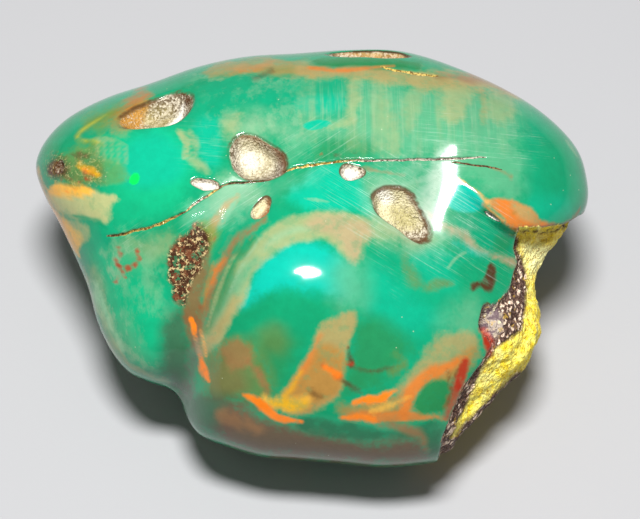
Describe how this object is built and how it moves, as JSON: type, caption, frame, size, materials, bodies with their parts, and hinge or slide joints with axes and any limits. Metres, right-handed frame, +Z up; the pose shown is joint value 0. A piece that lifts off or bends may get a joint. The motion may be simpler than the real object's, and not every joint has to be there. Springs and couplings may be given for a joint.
{
  "type": "amber nugget",
  "caption": "Polished see-through green amber nugget with open pits, long cracks and a rough yellow crusted side, resting on a flat underside.",
  "frame": {"origin": "centre of the footprint, on the surface that the nugget rests on", "axes": "+X along the nugget's length towards the rough side, +Y towards the hidden back, +Z up"},
  "size_m": [0.0806, 0.0654, 0.0393],
  "materials": {
    "amber": "polished, rough and yellow on one side"
  },
  "bodies": {
    "root": {"amber_nugget": "amber"}
  },
  "joints": []
}
